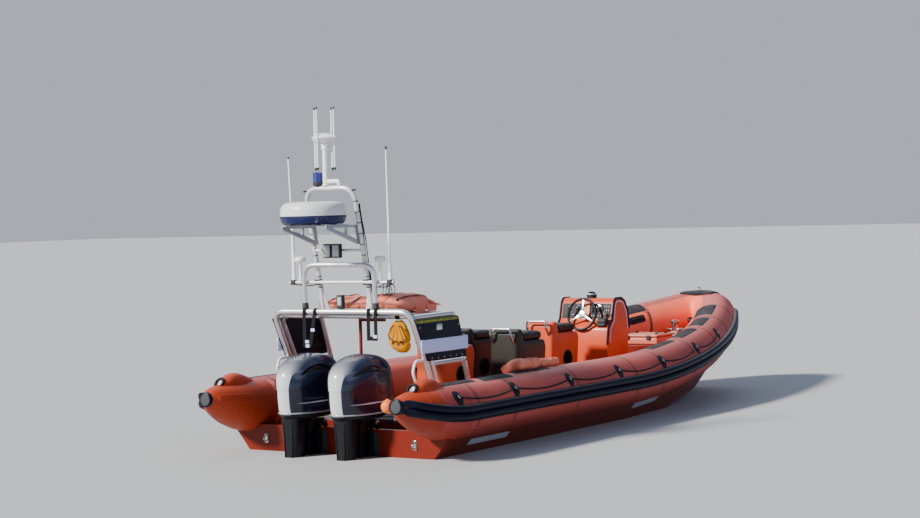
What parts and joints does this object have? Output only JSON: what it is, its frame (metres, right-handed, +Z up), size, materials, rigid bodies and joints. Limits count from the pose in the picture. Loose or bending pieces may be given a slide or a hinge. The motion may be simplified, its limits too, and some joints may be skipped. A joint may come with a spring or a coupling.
{
  "type": "inshore rescue boat",
  "caption": "Rigid inflatable inshore rescue boat with astride seats, centre console, roll bar with radar mast, and tilting, steering outboard engines.",
  "frame": {"origin": "on the centre line, midway between tail and nose of the rubbing strake, at the waterline", "axes": "+X to the bow, +Y to port, +Z up"},
  "size_m": [8.4393, 2.847, 4],
  "materials": {
    "hull_gelcoat": "glossy orange gelcoat",
    "deck_nonslip": "matt non-slip deck covering",
    "tube_fabric": "sun-faded coated fabric, satin",
    "cone_fabric": "bright orange coated fabric, satin",
    "strake_rubber": "black rubber",
    "console_gelcoat": "glossy orange gelcoat",
    "black_plastic": "black housing with a clear front",
    "stainless": "polished stainless steel",
    "seat_gelcoat": "grey gelcoat",
    "frame_alloy": "painted aluminium tube, light grey",
    "bracket_alloy": "plain aluminium plate",
    "white_plastic": "white plastic",
    "stay_red": "red paint on steel tube",
    "ball_orange": "pale orange rubber",
    "blue_lens": "dark blue lens on a black base",
    "panel_navy": "dark navy board",
    "board_white": "blank pale board",
    "bag_orange": "coated orange fabric",
    "bag_yellow": "yellow-orange fabric",
    "seat_vinyl": "black vinyl",
    "engine_casting": "dark painted casting",
    "engine_cowl": "glossy dark navy with a silver-grey spine",
    "engine_block": "bare castings",
    "propeller_alloy": "dark painted alloy"
  },
  "bodies": {
    "boat": {"hull": "hull_gelcoat", "deck": "deck_nonslip", "foredeck": "hull_gelcoat", "sponson_port_aft": "tube_fabric", "sponson_port_fore": "tube_fabric", "sponson_starboard_aft": "tube_fabric", "sponson_starboard_fore": "tube_fabric", "tail_cone_port": "cone_fabric", "tail_cone_starboard": "cone_fabric", "rubbing_strake": "strake_rubber", "bow_cap": "strake_rubber", "console": "console_gelcoat", "compass": "black_plastic", "bow_box": "hull_gelcoat", "bow_bollard": "stainless", "helm_seat_pod": "console_gelcoat", "port_crew_seat_pod": "seat_gelcoat", "starboard_crew_seat_pod": "seat_gelcoat", "aft_seat_pod": "seat_gelcoat", "roll_bar": "frame_alloy", "stern_frame": "frame_alloy", "mast_arch": "frame_alloy", "radar_bracket": "bracket_alloy", "radar_dome": "white_plastic", "floodlights": "black_plastic", "df_aerial": "white_plastic", "stern_light": "black_plastic", "mast_pipe": "white_plastic", "stay_post": "stay_red", "fender_ball": "ball_orange", "blue_light": "blue_lens", "port_whip_aerial": "white_plastic", "starboard_whip_aerial": "white_plastic", "port_round_aerial": "white_plastic", "starboard_round_aerial": "white_plastic", "port_side_panel": "panel_navy", "starboard_side_panel": "panel_navy", "port_name_board": "board_white", "starboard_name_board": "board_white", "righting_bag": "bag_orange", "yellow_bag": "bag_yellow", "helm_seat_cushion": "seat_vinyl", "port_crew_seat_cushion": "seat_vinyl", "starboard_crew_seat_cushion": "seat_vinyl", "aft_seat_cushion": "seat_vinyl", "port_engine_bracket": "engine_casting", "starboard_engine_bracket": "engine_casting"},
    "port_tilt": {"port_engine_swivel": "engine_casting"},
    "port_engine": {"port_engine_cowl": "engine_cowl", "port_engine_block": "engine_block", "port_engine_leg": "engine_casting"},
    "port_screw": {"port_propeller": "propeller_alloy"},
    "starboard_tilt": {"starboard_engine_swivel": "engine_casting"},
    "starboard_engine": {"starboard_engine_cowl": "engine_cowl", "starboard_engine_block": "engine_block", "starboard_engine_leg": "engine_casting"},
    "starboard_screw": {"starboard_propeller": "propeller_alloy"},
    "helm": {"helm_wheel": "black_plastic"}
  },
  "joints": [
    {"name": "port_engine_tilt", "type": "hinge", "parent": "boat", "child": "port_tilt", "pos_m": [-3.565, 0.3, 0.31], "axis": [0, 1, 0], "range_deg": [0, 65]},
    {"name": "port_engine_steer", "type": "hinge", "parent": "port_tilt", "child": "port_engine", "pos_m": [-3.685, 0.3, 0.1], "axis": [0, 0, 1], "range_deg": [-30, 30]},
    {"name": "port_propeller_spin", "type": "hinge", "parent": "port_engine", "child": "port_screw", "pos_m": [-4.09, 0.3, -0.555], "axis": [1, 0, 0], "continuous": true},
    {"name": "starboard_engine_tilt", "type": "hinge", "parent": "boat", "child": "starboard_tilt", "pos_m": [-3.565, -0.3, 0.31], "axis": [0, 1, 0], "range_deg": [0, 65]},
    {"name": "starboard_engine_steer", "type": "hinge", "parent": "starboard_tilt", "child": "starboard_engine", "pos_m": [-3.685, -0.3, 0.1], "axis": [0, 0, 1], "range_deg": [-30, 30]},
    {"name": "starboard_propeller_spin", "type": "hinge", "parent": "starboard_engine", "child": "starboard_screw", "pos_m": [-4.09, -0.3, -0.555], "axis": [1, 0, 0], "continuous": true},
    {"name": "helm_wheel_turn", "type": "hinge", "parent": "boat", "child": "helm", "pos_m": [1.06, 0, 1.01], "axis": [-0.9659, 0, 0.2588], "range_deg": [-540, 540]}
  ],
  "couplings": [
    {"joint": "starboard_engine_steer", "follows": "port_engine_steer", "ratio": 1},
    {"joint": "helm_wheel_turn", "follows": "port_engine_steer", "ratio": -18}
  ]
}
